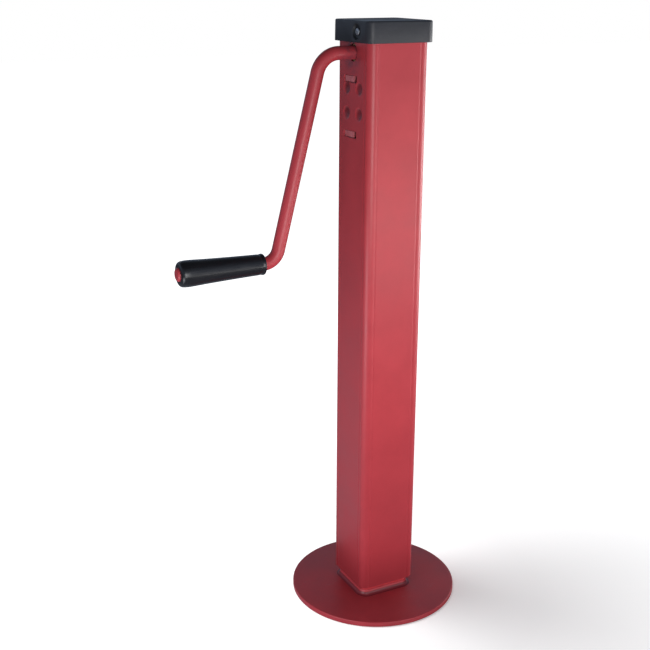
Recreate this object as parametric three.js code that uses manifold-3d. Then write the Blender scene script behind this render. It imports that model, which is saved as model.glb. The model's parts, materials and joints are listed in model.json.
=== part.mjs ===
// Side-wind trailer tongue jack, fully retracted. Millimetres, +Z up.
// The origin is the centre of the foot plate's underside. The crank sticks out towards -X.
import * as THREE from "three";
import { mergeVertices } from "three/addons/utils/BufferGeometryUtils.js";
import Module from "manifold-3d";

const wasm = await Module();
wasm.setup();

// ---- driving dimensions ----
const GAP = 0.3; // between neighbouring solids that touch on the real jack
const HEIGHT = 655; // floor to the top of the cap

const TUBE_WIDTH = 70; // outer square tube
const LEG_WIDTH = 60; // inner square tube
const WALL = 4; // both tubes
const TUBE_RADIUS = 8;
const LEG_RADIUS = 7.5;
const TUBE_BOTTOM = 17.5;
const RELIEF = 0.2; // the tube's end is dressed by this much all round where the cap pushes on
const LEG_TOP = 525;

const FOOT_DIAMETER = 192;
const FOOT_THICKNESS = 6;
const FOOT_CHAMFER = 0.8;
const WELD_LEG = 6;

const CAP_WIDTH = 77.5;
const CAP_RADIUS = 8;
const CAP_HEIGHT = 21.5;
const CAP_TOP_THICKNESS = 3.5;
const CAP_BEVEL = 1.5;
const CAP_SCREW_Y = 13;
const CAP_SCREW_DROP = 10.7; // below the cap's top
const CAP_RECESS_DEPTH = 2.2;

const CRANK_Z = 623; // the crank shaft's axis
const ROD_RADIUS = 7;
const GRIP_Z = 413; // the grip's axis
const ARM_TOP_X = -71.1; // where the arm's line meets the shaft's axis
const ARM_BOTTOM_X = -124.2; // where it meets the grip's axis
const ROD_END_X = -233.3;
const SHAFT_END_X = 34.2;
const UPPER_BEND = 25; // bend radii at the rod's centre line
const LOWER_BEND = 17.5;

const GRIP_INNER_X = -138.5;
const GRIP_OUTER_X = -231;
const GRIP_BORE = 7.3;

const GEAR_MODULE = 2;
const CROWN_TEETH = 24;
const PINION_TEETH = 12;
const TOOTH_FACE = 6;

const SCREW_RADIUS = 10;
const SCREW_BOTTOM = 100;
const COLLAR_BOTTOM = 575.5;
const COLLAR_TOP = 583.3;
const COLLAR_RADIUS = 16;
const JOURNAL_RADIUS = 7.7;
const SCREW_TOP = 612.5;

const PLATE_THICKNESS = 6; // the two plates that carry the bearing
const TOP_PLATE_Z = 593.5;
const BOTTOM_PLATE_Z = 537;
// Each plate has one tab a side, set off the tube's centre line towards +Y at -X and towards -Y at +X.
const TAB_WIDTH = 18;
const TAB_OFFSET = 8;
const SLOT_WIDTH = 26;
const SLOT_OFFSET = 5;
const SLOT_HEIGHT = 7;
const TAB_SET_BACK = 0.8; // tab ends below the tube's face
const CHEEK_THICKNESS = 3;
const DIMPLE_Y = 13;
const DIMPLE_HEIGHTS = [562, 587.5];
const DIMPLE_RADIUS = 6.5;
const DIMPLE_DEPTH = 1.8;
const BOSS_RADIUS = 4.2; // the dimple's bulge on the inside

const NUT_BORE = 10.4;
const NUT_PLATE_THICKNESS = 8;
const NUT_LENGTH = 24;
const PIN_RADIUS = 2;
const PIN_HOLE = 2.3;
const GEAR_PIN_RADIUS = 1.75;
const GEAR_PIN_HOLE = 2.05;

const HALF = TUBE_WIDTH / 2;
const BORE_HALF = HALF - WALL; // the outer tube's inside face
const CAP_SCREW_Z = HEIGHT - CAP_SCREW_DROP;

// ---- materials ----
function material(color, roughness, metalness) {
  return new THREE.MeshStandardMaterial({ color, roughness, metalness });
}
const redPaint = material(0xa8323a, 0.45, 0.1);
const blackPlastic = material(0x2a2a30, 0.5, 0);
const glossGrip = material(0x141418, 0.25, 0);
const zincSteel = material(0xb4b6ba, 0.35, 0.9);
const bareSteel = material(0x77797c, 0.4, 0.9);
const darkSteel = material(0x4a4b4e, 0.5, 0.9);
const bronze = material(0x9a7440, 0.4, 0.9);

// ---- solids: joining and cutting ----
function toSolid(geometry) {
  const bare = geometry.clone().deleteAttribute("normal").deleteAttribute("uv");
  const merged = mergeVertices(bare, 1e-4);
  const corners = merged.index.array;
  const kept = [];
  for (let i = 0; i < corners.length; i += 3) {
    const [a, b, c] = corners.slice(i, i + 3);
    if (a !== b && b !== c && c !== a) kept.push(a, b, c);
  }
  const vertProperties = new Float32Array(merged.attributes.position.array);
  const triVerts = new Uint32Array(kept);
  return new wasm.Manifold(new wasm.Mesh({ numProp: 3, vertProperties, triVerts }));
}

function toGeometry(solid) {
  const { vertProperties, triVerts } = solid.getMesh();
  const geometry = new THREE.BufferGeometry();
  geometry.setAttribute("position", new THREE.BufferAttribute(vertProperties, 3));
  geometry.setIndex(new THREE.BufferAttribute(triVerts, 1));
  geometry.computeVertexNormals();
  return geometry;
}

function join(geometries) {
  return toGeometry(geometries.map(toSolid).reduce((whole, part) => whole.add(part)));
}

function cut(geometry, tools) {
  return toGeometry(tools.map(toSolid).reduce((whole, tool) => whole.subtract(tool), toSolid(geometry)));
}

// ---- basic shapes ----
function polygon(points) {
  return new THREE.Shape(points.map(([x, y]) => new THREE.Vector2(x, y)));
}

function circle(radius, sides) {
  const points = [];
  for (let i = 0; i < sides; i += 1) {
    const angle = (2 * Math.PI * i) / sides;
    points.push([radius * Math.cos(angle), radius * Math.sin(angle)]);
  }
  return polygon(points);
}

function roundedSquare(width, radius, cornerSteps = 6) {
  const centre = width / 2 - radius;
  const points = [];
  for (let quarter = 0; quarter < 4; quarter += 1) {
    for (let step = 0; step <= cornerSteps; step += 1) {
      const angle = (Math.PI / 2) * (quarter + step / cornerSteps);
      const signX = quarter === 0 || quarter === 3 ? 1 : -1;
      const signY = quarter < 2 ? 1 : -1;
      points.push([signX * centre + radius * Math.cos(angle), signY * centre + radius * Math.sin(angle)]);
    }
  }
  return polygon(points);
}

function extrude(shape, bottom, top) {
  return new THREE.ExtrudeGeometry(shape, { depth: top - bottom, bevelEnabled: false }).translate(0, 0, bottom);
}

// A profile of [radius, height] points turned about Z, listed outwards from the bottom and round to the top.
function turned(profile, sides = 32) {
  const points = profile.map(([radius, height]) => new THREE.Vector2(radius, height));
  return new THREE.LatheGeometry(points, sides).rotateX(Math.PI / 2);
}

function disc(radius, bottom, top, sides = 32) {
  return turned([[0, bottom], [radius, bottom], [radius, top], [0, top]], sides);
}

function ring(bore, radius, bottom, top, sides = 32) {
  return turned([[bore, bottom], [radius, bottom], [radius, top], [bore, top], [bore, bottom]], sides);
}

function block(sizeX, sizeY, bottom, top) {
  return new THREE.BoxGeometry(sizeX, sizeY, top - bottom).translate(0, 0, (bottom + top) / 2);
}

// Turns a shape built along +Z so that its +Z end points along +X.
function alongX(geometry) {
  return geometry.rotateY(Math.PI / 2);
}

function alongY(geometry) {
  return geometry.rotateX(-Math.PI / 2);
}

// ---- the jack's tree ----
const jack = new THREE.Group();

function add(name, geometry, surface, x = 0, y = 0, z = 0) {
  const mesh = new THREE.Mesh(geometry, surface);
  mesh.name = name;
  mesh.position.set(x, y, z);
  jack.add(mesh);
  return mesh;
}

// ---- outer tube ----
function squareTube(width, radius, bottom, top) {
  const section = roundedSquare(width, radius);
  section.holes.push(roundedSquare(width - 2 * WALL, radius - WALL));
  return extrude(section, bottom, top);
}

function dimpleCutter() {
  const radius = (DIMPLE_RADIUS ** 2 + DIMPLE_DEPTH ** 2) / (2 * DIMPLE_DEPTH);
  return new THREE.SphereGeometry(radius, 26, 16).translate(radius + HALF - DIMPLE_DEPTH, 0, 0);
}

function outerTube() {
  const bushHole = 9;
  const screwHole = 2.3;
  const bosses = [];
  const cutters = [alongX(disc(bushHole, -HALF - 1, HALF + 1)).translate(0, 0, CRANK_Z)];
  for (const side of [-1, 1]) {
    const turn = side > 0 ? 0 : Math.PI;
    cutters.push(
      alongX(disc(screwHole, BORE_HALF - 1, HALF + 1, 20)).rotateZ(turn).translate(0, side * CAP_SCREW_Y, CAP_SCREW_Z),
    );
    for (const plateBottom of [TOP_PLATE_Z, BOTTOM_PLATE_Z]) {
      const slotBottom = plateBottom + (PLATE_THICKNESS - SLOT_HEIGHT) / 2;
      cutters.push(
        block(WALL + 2, SLOT_WIDTH, slotBottom, slotBottom + SLOT_HEIGHT)
          .translate(side * (HALF - WALL / 2), -side * SLOT_OFFSET, 0),
      );
    }
    for (const z of DIMPLE_HEIGHTS) {
      for (const y of [-DIMPLE_Y, DIMPLE_Y]) {
        cutters.push(dimpleCutter().rotateZ(turn).translate(0, y, z));
        bosses.push(
          alongX(turned([[0, BORE_HALF - 1.6], [BOSS_RADIUS - 1, BORE_HALF - 1.6],
            [BOSS_RADIUS, BORE_HALF - 0.8], [BOSS_RADIUS, BORE_HALF + 1], [0, BORE_HALF + 1]], 20))
            .rotateZ(turn).translate(0, y, z),
        );
      }
    }
  }
  const top = HEIGHT - CAP_TOP_THICKNESS - GAP;
  const tube = squareTube(TUBE_WIDTH, TUBE_RADIUS, TUBE_BOTTOM, top);
  const dressing = roundedSquare(TUBE_WIDTH + 4, TUBE_RADIUS);
  dressing.holes.push(roundedSquare(TUBE_WIDTH - 2 * RELIEF, TUBE_RADIUS - RELIEF));
  cutters.push(extrude(dressing, HEIGHT - CAP_HEIGHT - GAP, top + 1));
  return cut(join([tube, ...bosses]), cutters);
}
add("outer_tube", outerTube(), redPaint);

// ---- cap and its two screws ----
function topCap() {
  const section = roundedSquare(CAP_WIDTH, CAP_RADIUS);
  const outside = new THREE.ExtrudeGeometry(section, {
    depth: CAP_HEIGHT - 2 * CAP_BEVEL,
    bevelThickness: CAP_BEVEL,
    bevelSize: CAP_BEVEL,
    bevelOffset: -CAP_BEVEL,
    bevelSegments: 2,
  }).translate(0, 0, HEIGHT - CAP_HEIGHT + CAP_BEVEL);
  const fit = TUBE_WIDTH - 2 * RELIEF + 2 * GAP;
  const inside = extrude(
    roundedSquare(fit, TUBE_RADIUS - RELIEF + GAP), HEIGHT - CAP_HEIGHT - 1, HEIGHT - CAP_TOP_THICKNESS,
  );
  const recess = turned([
    [0, HALF - 1], [2.3, HALF - 1], [2.3, CAP_WIDTH / 2 - CAP_RECESS_DEPTH],
    [5, CAP_WIDTH / 2 - CAP_RECESS_DEPTH], [8.2, CAP_WIDTH / 2], [8.2, CAP_WIDTH / 2 + 1],
    [0, CAP_WIDTH / 2 + 1],
  ], 32);
  const recesses = [1, -1].map((side) =>
    alongX(recess.clone()).rotateZ(side > 0 ? 0 : Math.PI).translate(0, side * CAP_SCREW_Y, CAP_SCREW_Z));
  return cut(outside, [inside, ...recesses]);
}
add("top_cap", topCap(), blackPlastic);

function capScrew() {
  const floor = CAP_WIDTH / 2 - CAP_RECESS_DEPTH + GAP;
  return alongX(turned([
    [0, 27], [1.2, 28], [2, 28.8], [2, floor], [3.7, floor], [3.7, floor + 0.8],
    [2.9, floor + 1.4], [0, floor + 1.5],
  ], 24));
}
add("cap_screw_left", capScrew(), zincSteel, 0, -CAP_SCREW_Y, CAP_SCREW_Z).rotation.z = Math.PI;
add("cap_screw_right", capScrew(), zincSteel, 0, CAP_SCREW_Y, CAP_SCREW_Z);

// ---- crank shaft bushes ----
const BUSH_FLANGE = 2.1;
const BUSH_RECESS = 2; // from the tube's face to the end of the bush's sleeve
function shaftBush() {
  const flange = BORE_HALF - GAP;
  const bore = ROD_RADIUS + GAP;
  return alongX(turned([
    [bore, flange - BUSH_FLANGE], [12, flange - BUSH_FLANGE], [12, flange], [8.7, flange],
    [8.7, HALF - BUSH_RECESS], [bore, HALF - BUSH_RECESS], [bore, flange - BUSH_FLANGE],
  ]));
}
add("crank_bush", shaftBush(), bronze, 0, 0, CRANK_Z).rotation.z = Math.PI;
add("far_bush", shaftBush(), bronze, 0, 0, CRANK_Z);

// ---- bearing carrier: two tabbed plates and two cheeks ----
function carrierPlate(bottom, bore) {
  const top = bottom + PLATE_THICKNESS;
  const body = extrude(roundedSquare(2 * (BORE_HALF - GAP), TUBE_RADIUS - WALL, 4), bottom, top);
  const reach = HALF - TAB_SET_BACK;
  const tabs = [1, -1].map((side) =>
    block(reach, TAB_WIDTH, bottom, top).translate(side * (reach / 2), -side * TAB_OFFSET, 0));
  return cut(join([body, ...tabs]), [disc(bore, bottom - 1, top + 1)]);
}
add("carrier_top_plate", carrierPlate(TOP_PLATE_Z, 8.2), darkSteel);
add("carrier_bottom_plate", carrierPlate(BOTTOM_PLATE_Z, SCREW_RADIUS + 0.6), darkSteel);

function cheek() {
  const outer = BORE_HALF - GAP;
  const plate = block(CHEEK_THICKNESS, 42, BOTTOM_PLATE_Z + PLATE_THICKNESS + GAP, TOP_PLATE_Z - GAP)
    .translate(outer - CHEEK_THICKNESS / 2, 0, 0);
  const holes = DIMPLE_HEIGHTS.flatMap((z) => [-DIMPLE_Y, DIMPLE_Y].map((y) =>
    alongX(disc(BOSS_RADIUS + GAP, outer - CHEEK_THICKNESS - 1, outer + 1, 24)).translate(0, y, z)));
  return cut(plate, holes);
}
add("carrier_cheek_left", cheek(), darkSteel).rotation.z = Math.PI;
add("carrier_cheek_right", cheek(), darkSteel);

// ---- thrust bearing between the screw's collar and the top plate ----
const RACE_THICKNESS = 2.5;
const RACE_BORE = 8.1;
const UPPER_RACE_TOP = TOP_PLATE_Z - GAP;
const LOWER_RACE_BOTTOM = COLLAR_TOP + GAP;
add("upper_thrust_race",
  ring(RACE_BORE, COLLAR_RADIUS, UPPER_RACE_TOP - RACE_THICKNESS, UPPER_RACE_TOP), bareSteel);
add("lower_thrust_race",
  ring(RACE_BORE, COLLAR_RADIUS, LOWER_RACE_BOTTOM, LOWER_RACE_BOTTOM + RACE_THICKNESS), bareSteel);

function ballCage() {
  const balls = 10;
  const pitchRadius = 12.2;
  const space = UPPER_RACE_TOP - LOWER_RACE_BOTTOM - 2 * RACE_THICKNESS;
  const middle = LOWER_RACE_BOTTOM + RACE_THICKNESS + space / 2;
  const parts = [ring(9, 15.4, middle - 0.8, middle + 0.8)];
  for (let i = 0; i < balls; i += 1) {
    const ball = new THREE.SphereGeometry(space / 2 - GAP, 8, 6).translate(pitchRadius, 0, middle);
    parts.push(ball.rotateZ((2 * Math.PI * i) / balls));
  }
  return join(parts);
}
add("thrust_ball_cage", ballCage(), bronze);

// ---- lead screw, with its end stop ----
const STOP_PIN_Z = 106.3;
const STOP_WASHER_Z = 111;
const GEAR_PIN_Z = 604.2;
function crossHole(radius, length, z) {
  return alongY(disc(radius, -length / 2, length / 2, 20)).translate(0, 0, z);
}

function leadScrew() {
  const chamfer = 2;
  const body = turned([
    [0, SCREW_BOTTOM], [SCREW_RADIUS - chamfer, SCREW_BOTTOM], [SCREW_RADIUS, SCREW_BOTTOM + chamfer],
    [SCREW_RADIUS, COLLAR_BOTTOM], [COLLAR_RADIUS, COLLAR_BOTTOM], [COLLAR_RADIUS, COLLAR_TOP],
    [JOURNAL_RADIUS, COLLAR_TOP], [JOURNAL_RADIUS, SCREW_TOP], [0, SCREW_TOP],
  ]);
  const length = 3 * SCREW_RADIUS;
  return cut(body, [crossHole(PIN_HOLE, length, STOP_PIN_Z), crossHole(GEAR_PIN_HOLE, length, GEAR_PIN_Z)]);
}
add("lead_screw", leadScrew(), bareSteel);
add("screw_stop_washer", ring(NUT_BORE, COLLAR_RADIUS, STOP_WASHER_Z, STOP_WASHER_Z + 4), zincSteel);
add("screw_stop_pin", crossHole(PIN_RADIUS, 29, STOP_PIN_Z), bareSteel);

// ---- bevel gears ----
// A bevel gear with its cone's apex at the origin and its body along +Z. Every tooth runs towards the apex.
// tipHalf and rootHalf are a tooth's half widths at its large end.
function bevelGear({ teeth, mateTeeth, tipHalf, rootHalf, bore, back }) {
  const pitchRadius = (GEAR_MODULE * teeth) / 2;
  const coneAngle = Math.atan2(teeth, mateTeeth);
  const coneDistance = pitchRadius / Math.sin(coneAngle);
  const addendum = 0.85 * GEAR_MODULE;
  const dedendum = 1.15 * GEAR_MODULE;
  const inner = (coneDistance - TOOTH_FACE) / coneDistance;
  // [radius, axial distance] at a height above the pitch cone, at the tooth's large end
  const level = (height) => [
    pitchRadius + height * Math.cos(coneAngle),
    coneDistance * Math.cos(coneAngle) - height * Math.sin(coneAngle),
  ];
  const root = level(-dedendum);
  const innerRoot = root.map((value) => value * inner);
  const blank = turned([
    [bore, innerRoot[1]], innerRoot, root, ...back, [bore, back.at(-1)[1]], [bore, innerRoot[1]],
  ], 2 * teeth);
  const levels = [[-dedendum - 0.5, rootHalf], [addendum, tipHalf]];
  const tooth = (index) => {
    const corners = [];
    for (const scale of [1, inner]) {
      for (const side of [1, -1]) {
        for (const [height, half] of side > 0 ? levels : [...levels].reverse()) {
          const [radius, axial] = level(height);
          const angle = (side * half) / radius + (2 * Math.PI * index) / teeth;
          corners.push([
            scale * radius * Math.cos(angle), scale * radius * Math.sin(angle), scale * axial,
          ]);
        }
      }
    }
    const sides = corners.length / 2;
    const faces = [];
    for (let i = 0; i < sides; i += 1) {
      const next = (i + 1) % sides;
      faces.push(i, next, sides + i, next, sides + next, sides + i);
    }
    for (let i = 1; i < sides - 1; i += 1) {
      faces.push(0, i + 1, i, sides, sides + i, sides + i + 1);
    }
    const geometry = new THREE.BufferGeometry();
    geometry.setAttribute("position", new THREE.Float32BufferAttribute(corners.flat(), 3));
    return geometry.setIndex(faces);
  };
  return join([blank, ...Array.from({ length: teeth }, (unused, index) => tooth(index))]);
}

const CROWN_BACK = 21.2; // the crown gear's back face, below the apex
function crownGear() {
  const gear = bevelGear({
    teeth: CROWN_TEETH, mateTeeth: PINION_TEETH, tipHalf: 0.75, rootHalf: 2.1,
    bore: JOURNAL_RADIUS + GAP, back: [[22.5, 16.3], [14, 16.3], [14, CROWN_BACK]],
  });
  return cut(gear, [crossHole(GEAR_PIN_HOLE, 60, CRANK_Z - GEAR_PIN_Z)]);
}
const crown = add("crown_gear", crownGear(), darkSteel, 0, 0, CRANK_Z);
crown.rotation.x = Math.PI;
add("crown_gear_pin", crossHole(GEAR_PIN_RADIUS, 27, GEAR_PIN_Z), bareSteel);
add("crown_gear_washer",
  ring(8.2, 14, TOP_PLATE_Z + PLATE_THICKNESS + GAP, CRANK_Z - CROWN_BACK - GAP), bronze);

const PINION_BACK = 28.3;
const DRIVE_PIN_X = 26;
function pinion() {
  const gear = bevelGear({
    teeth: PINION_TEETH, mateTeeth: CROWN_TEETH, tipHalf: 0.6, rootHalf: 1.8,
    bore: ROD_RADIUS + GAP, back: [[10.5, 24.8], [10.5, PINION_BACK]],
  });
  // half a tooth of turn puts a gap between teeth where the crown gear's tooth stands
  gear.rotateZ(Math.PI / PINION_TEETH);
  const slot = block(30, 2 * PIN_HOLE, DRIVE_PIN_X - PIN_HOLE, PINION_BACK + 1);
  return cut(gear, [slot.rotateZ(Math.PI / 2)]);
}
add("bevel_pinion", pinion(), darkSteel, 0, 0, CRANK_Z).rotation.y = Math.PI / 2;
add("pinion_drive_pin", alongY(disc(PIN_RADIUS, -9.6, 9.6, 20)), bareSteel, DRIVE_PIN_X, 0, CRANK_Z);

// ---- crank rod ----
// Straight runs joined by tangent arcs; each sample of the curve is one end of a straight or a step of an arc.
class BentRod extends THREE.Curve {
  constructor(corners, bendRadii, arcSteps) {
    super();
    this.stations = [];
    for (let i = 0; i < corners.length; i += 1) {
      const here = corners[i];
      const before = corners[Math.max(i - 1, 0)];
      const after = corners[Math.min(i + 1, corners.length - 1)];
      const arriving = here.clone().sub(before).normalize();
      const leaving = after.clone().sub(here).normalize();
      if (i === 0) this.stations.push({ point: here, tangent: leaving });
      else if (i === corners.length - 1) this.stations.push({ point: here, tangent: arriving });
      else this.addBend(here, arriving, leaving, bendRadii[i - 1], arcSteps);
    }
  }

  addBend(corner, arriving, leaving, radius, steps) {
    const turn = arriving.angleTo(leaving);
    const setBack = radius * Math.tan(turn / 2);
    const start = corner.clone().addScaledVector(arriving, -setBack);
    const inwards = leaving.clone().addScaledVector(arriving, -arriving.dot(leaving)).normalize();
    for (let step = 0; step <= steps; step += 1) {
      const angle = (turn * step) / steps;
      const point = start.clone()
        .addScaledVector(arriving, radius * Math.sin(angle))
        .addScaledVector(inwards, radius * (1 - Math.cos(angle)));
      const tangent = arriving.clone().multiplyScalar(Math.cos(angle)).addScaledVector(inwards, Math.sin(angle));
      this.stations.push({ point, tangent });
    }
  }

  get steps() {
    return this.stations.length - 1;
  }

  station(t) {
    return this.stations[Math.round(t * this.steps)];
  }

  getPoint(t, target = new THREE.Vector3()) {
    return target.copy(this.station(t).point);
  }

  getPointAt(t, target) {
    return this.getPoint(t, target);
  }

  getTangentAt(t, target = new THREE.Vector3()) {
    return target.copy(this.station(t).tangent);
  }
}

const SWAGE_X = -185; // the raised ring that keeps the grip on
const SWAGE_RADIUS = 7.9;
const RING_X = -(BORE_HALF - GAP - BUSH_FLANGE - GAP); // outer face of the retaining ring
const RING_THICKNESS = 1.2;
const GROOVE_RADIUS = 5.5;
function crankRod() {
  const corners = [
    [SHAFT_END_X, CRANK_Z], [ARM_TOP_X, CRANK_Z], [ARM_BOTTOM_X, GRIP_Z], [ROD_END_X + 1, GRIP_Z],
  ].map(([x, z]) => new THREE.Vector3(x, 0, z));
  const path = new BentRod(corners, [UPPER_BEND, LOWER_BEND], 7);
  const rod = new THREE.ExtrudeGeometry(circle(ROD_RADIUS, 20), { steps: path.steps, extrudePath: path });
  const swage = turned([
    [0, -3], [ROD_RADIUS - 0.2, -3], [SWAGE_RADIUS, -1.5], [SWAGE_RADIUS, 1.5], [ROD_RADIUS - 0.2, 3], [0, 3],
  ], 20);
  const tip = turned([[0, -1], [ROD_RADIUS - 1, -1], [ROD_RADIUS, 0], [ROD_RADIUS, 1], [0, 1]], 20);
  const whole = join([
    rod, alongX(swage).translate(SWAGE_X, 0, GRIP_Z), alongX(tip).translate(ROD_END_X + 1, 0, GRIP_Z),
  ]);
  const groove = ring(GROOVE_RADIUS, ROD_RADIUS + 2, RING_X - GAP, RING_X + RING_THICKNESS + GAP, 32);
  const pinHole = alongY(disc(PIN_HOLE, -10, 10, 20)).translate(DRIVE_PIN_X, 0, CRANK_Z);
  return cut(whole, [alongX(groove).translate(0, 0, CRANK_Z), pinHole]);
}
add("crank_rod", crankRod(), redPaint);

function retainingRing() {
  const mouth = 8;
  const whole = ring(GROOVE_RADIUS + GAP, 9.5, 0, RING_THICKNESS);
  return cut(whole, [block(30, mouth, -1, RING_THICKNESS + 1).translate(15, 0, 0)]);
}
add("shaft_retaining_ring", retainingRing(), bareSteel, RING_X, 0, CRANK_Z).rotation.y = Math.PI / 2;

// ---- grip ----
function grip() {
  const length = GRIP_INNER_X - GRIP_OUTER_X;
  const swageAt = SWAGE_X - GRIP_OUTER_X;
  const groove = SWAGE_RADIUS + 0.6;
  return alongX(turned([
    [GRIP_BORE, 0], [9.8, 0], [12.2, 1.2], [13.3, 3.6], [13.7, 9], [13.6, 14], [12.7, 30], [11.8, 55],
    [10.9, length - 6], [10.6, length - 4], [11.2, length - 2.5], [10.9, length - 0.7], [9.8, length],
    [GRIP_BORE, length], [GRIP_BORE, swageAt + 3.6], [groove, swageAt + 2.4], [groove, swageAt - 2.4],
    [GRIP_BORE, swageAt - 3.6], [GRIP_BORE, 0],
  ], 28));
}
add("crank_grip", grip(), glossGrip, GRIP_OUTER_X, 0, GRIP_Z);

// ---- leg: inner tube, nut and foot ----
const LEG_BORE = LEG_WIDTH - 2 * WALL;
add("inner_tube", squareTube(LEG_WIDTH, LEG_RADIUS, FOOT_THICKNESS + GAP, LEG_TOP), redPaint);

function nutPlate() {
  const outline = roundedSquare(LEG_BORE - 2 * GAP, LEG_RADIUS - WALL, 4);
  const bottom = LEG_TOP - NUT_PLATE_THICKNESS;
  return cut(extrude(outline, bottom, LEG_TOP), [disc(NUT_BORE, bottom - 1, LEG_TOP + 1)]);
}
add("nut_plate", nutPlate(), darkSteel);
const NUT_TOP = LEG_TOP - NUT_PLATE_THICKNESS - GAP;
add("leg_nut", ring(NUT_BORE, 19, NUT_TOP - NUT_LENGTH, NUT_TOP), bronze);

function footPlate() {
  const radius = FOOT_DIAMETER / 2;
  return turned([
    [0, 0], [radius - FOOT_CHAMFER, 0], [radius, FOOT_CHAMFER], [radius, FOOT_THICKNESS - FOOT_CHAMFER],
    [radius - FOOT_CHAMFER, FOOT_THICKNESS], [0, FOOT_THICKNESS],
  ], 72);
}
add("foot_plate", footPlate(), redPaint);

function footWeld() {
  const bottom = FOOT_THICKNESS + GAP;
  const width = LEG_WIDTH + 2 * GAP;
  const bead = new THREE.ExtrudeGeometry(roundedSquare(width, LEG_RADIUS), {
    depth: 0.1, bevelThickness: WELD_LEG, bevelSize: WELD_LEG, bevelSegments: 4,
  }).translate(0, 0, bottom - 0.1);
  const below = block(2 * width, 2 * width, bottom - 2 * WELD_LEG, bottom);
  const inside = extrude(roundedSquare(width, LEG_RADIUS + GAP), bottom - 1, bottom + 2 * WELD_LEG);
  return cut(bead, [below, inside]);
}
add("foot_weld", footWeld(), redPaint);

export default jack;
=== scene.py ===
"""Side-wind trailer tongue jack: fine meshes, procedural finishes and a plain studio.

Everything is in metres, in the frame's own axes. The crank sticks out towards -X, and the camera stands
towards -X and -Y.
"""
import json
import math

import bmesh
import bpy
from mathutils import Matrix, Quaternion, Vector, noise

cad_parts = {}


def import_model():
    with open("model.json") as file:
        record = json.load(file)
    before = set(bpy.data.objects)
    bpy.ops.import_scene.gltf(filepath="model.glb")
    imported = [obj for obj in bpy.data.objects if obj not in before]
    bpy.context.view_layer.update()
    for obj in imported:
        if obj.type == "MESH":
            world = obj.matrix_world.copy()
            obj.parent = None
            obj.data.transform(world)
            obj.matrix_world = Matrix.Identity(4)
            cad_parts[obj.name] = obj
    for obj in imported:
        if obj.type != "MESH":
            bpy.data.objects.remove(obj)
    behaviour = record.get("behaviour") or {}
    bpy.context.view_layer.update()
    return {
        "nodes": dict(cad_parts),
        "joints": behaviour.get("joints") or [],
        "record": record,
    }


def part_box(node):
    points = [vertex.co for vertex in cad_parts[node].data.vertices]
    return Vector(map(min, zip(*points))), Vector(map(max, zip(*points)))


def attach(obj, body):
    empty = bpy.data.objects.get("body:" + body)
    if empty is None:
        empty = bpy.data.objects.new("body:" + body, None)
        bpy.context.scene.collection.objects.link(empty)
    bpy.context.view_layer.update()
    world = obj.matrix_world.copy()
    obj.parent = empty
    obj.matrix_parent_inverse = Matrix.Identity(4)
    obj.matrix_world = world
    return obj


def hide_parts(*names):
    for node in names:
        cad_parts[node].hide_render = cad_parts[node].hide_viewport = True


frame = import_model()

MM = 0.001
HALF_TURN = math.pi
FULL_TURN = 2 * math.pi


# ---- dimensions read from the frame ----
class Span:
    """One CAD node's box: its corners, centre and size."""

    def __init__(self, node):
        self.low, self.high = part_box(node)
        self.centre = (self.low + self.high) / 2
        self.size = self.high - self.low


TUBE = Span("outer_tube")
LEG = Span("inner_tube")
CAP = Span("top_cap")
FOOT = Span("foot_plate")
BEAD = Span("foot_weld")
ROD = Span("crank_rod")
GRIP = Span("crank_grip")
CAP_SCREW = Span("cap_screw_left")
TOP_PLATE = Span("carrier_top_plate")
BOTTOM_PLATE = Span("carrier_bottom_plate")
JOINTS = {joint["name"]: joint for joint in frame["joints"]}

TUBE_HALF = TUBE.high.x
LEG_HALF = LEG.high.x
WALL = 4 * MM
GAP = 0.3 * MM
SHAFT_Z = Span("crank_bush").centre.z
ROD_RADIUS = ROD.high.z - SHAFT_Z
GRIP_Z = JOINTS["grip_spin"]["pos_m"][2]


# ---- meshes ----
TINY = 1e-7
NEARLY_STRAIGHT = -0.98  # cosine between the two ways out of a corner that needs no rounding


def link(name, mesh):
    piece = bpy.data.objects.new(name, mesh)
    bpy.context.scene.collection.objects.link(piece)
    return piece


def mesh_piece(name, points, faces):
    """A new object from points and faces, with its normals turned outwards."""
    mesh = bpy.data.meshes.new(name)
    mesh.from_pydata([tuple(p) for p in points], [], faces)
    sculpt = bmesh.new()
    sculpt.from_mesh(mesh)
    bmesh.ops.recalc_face_normals(sculpt, faces=sculpt.faces)
    sculpt.to_mesh(mesh)
    sculpt.free()
    return link(name, mesh)


def shade(piece, sharp_degrees):
    """Smooth shading, but for the edges sharper than an angle."""
    piece.data.shade_smooth()
    piece.data.set_sharp_from_angle(angle=math.radians(sharp_degrees))


def loft(name, rings, closed=False):
    """Skins equal rings of points. A closed loft joins its last ring to its first; an open one is capped."""
    count = len(rings[0])
    points = [point for ring in rings for point in ring]
    faces = []
    spans = len(rings) if closed else len(rings) - 1
    for row in range(spans):
        here = row * count
        there = ((row + 1) % len(rings)) * count
        for i in range(count):
            j = (i + 1) % count
            faces.append((here + i, here + j, there + j, there + i))
    if not closed:
        faces.append(tuple(range(count)))
        faces.append(tuple(range(len(points) - count, len(points))))
    return mesh_piece(name, points, faces)


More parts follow.
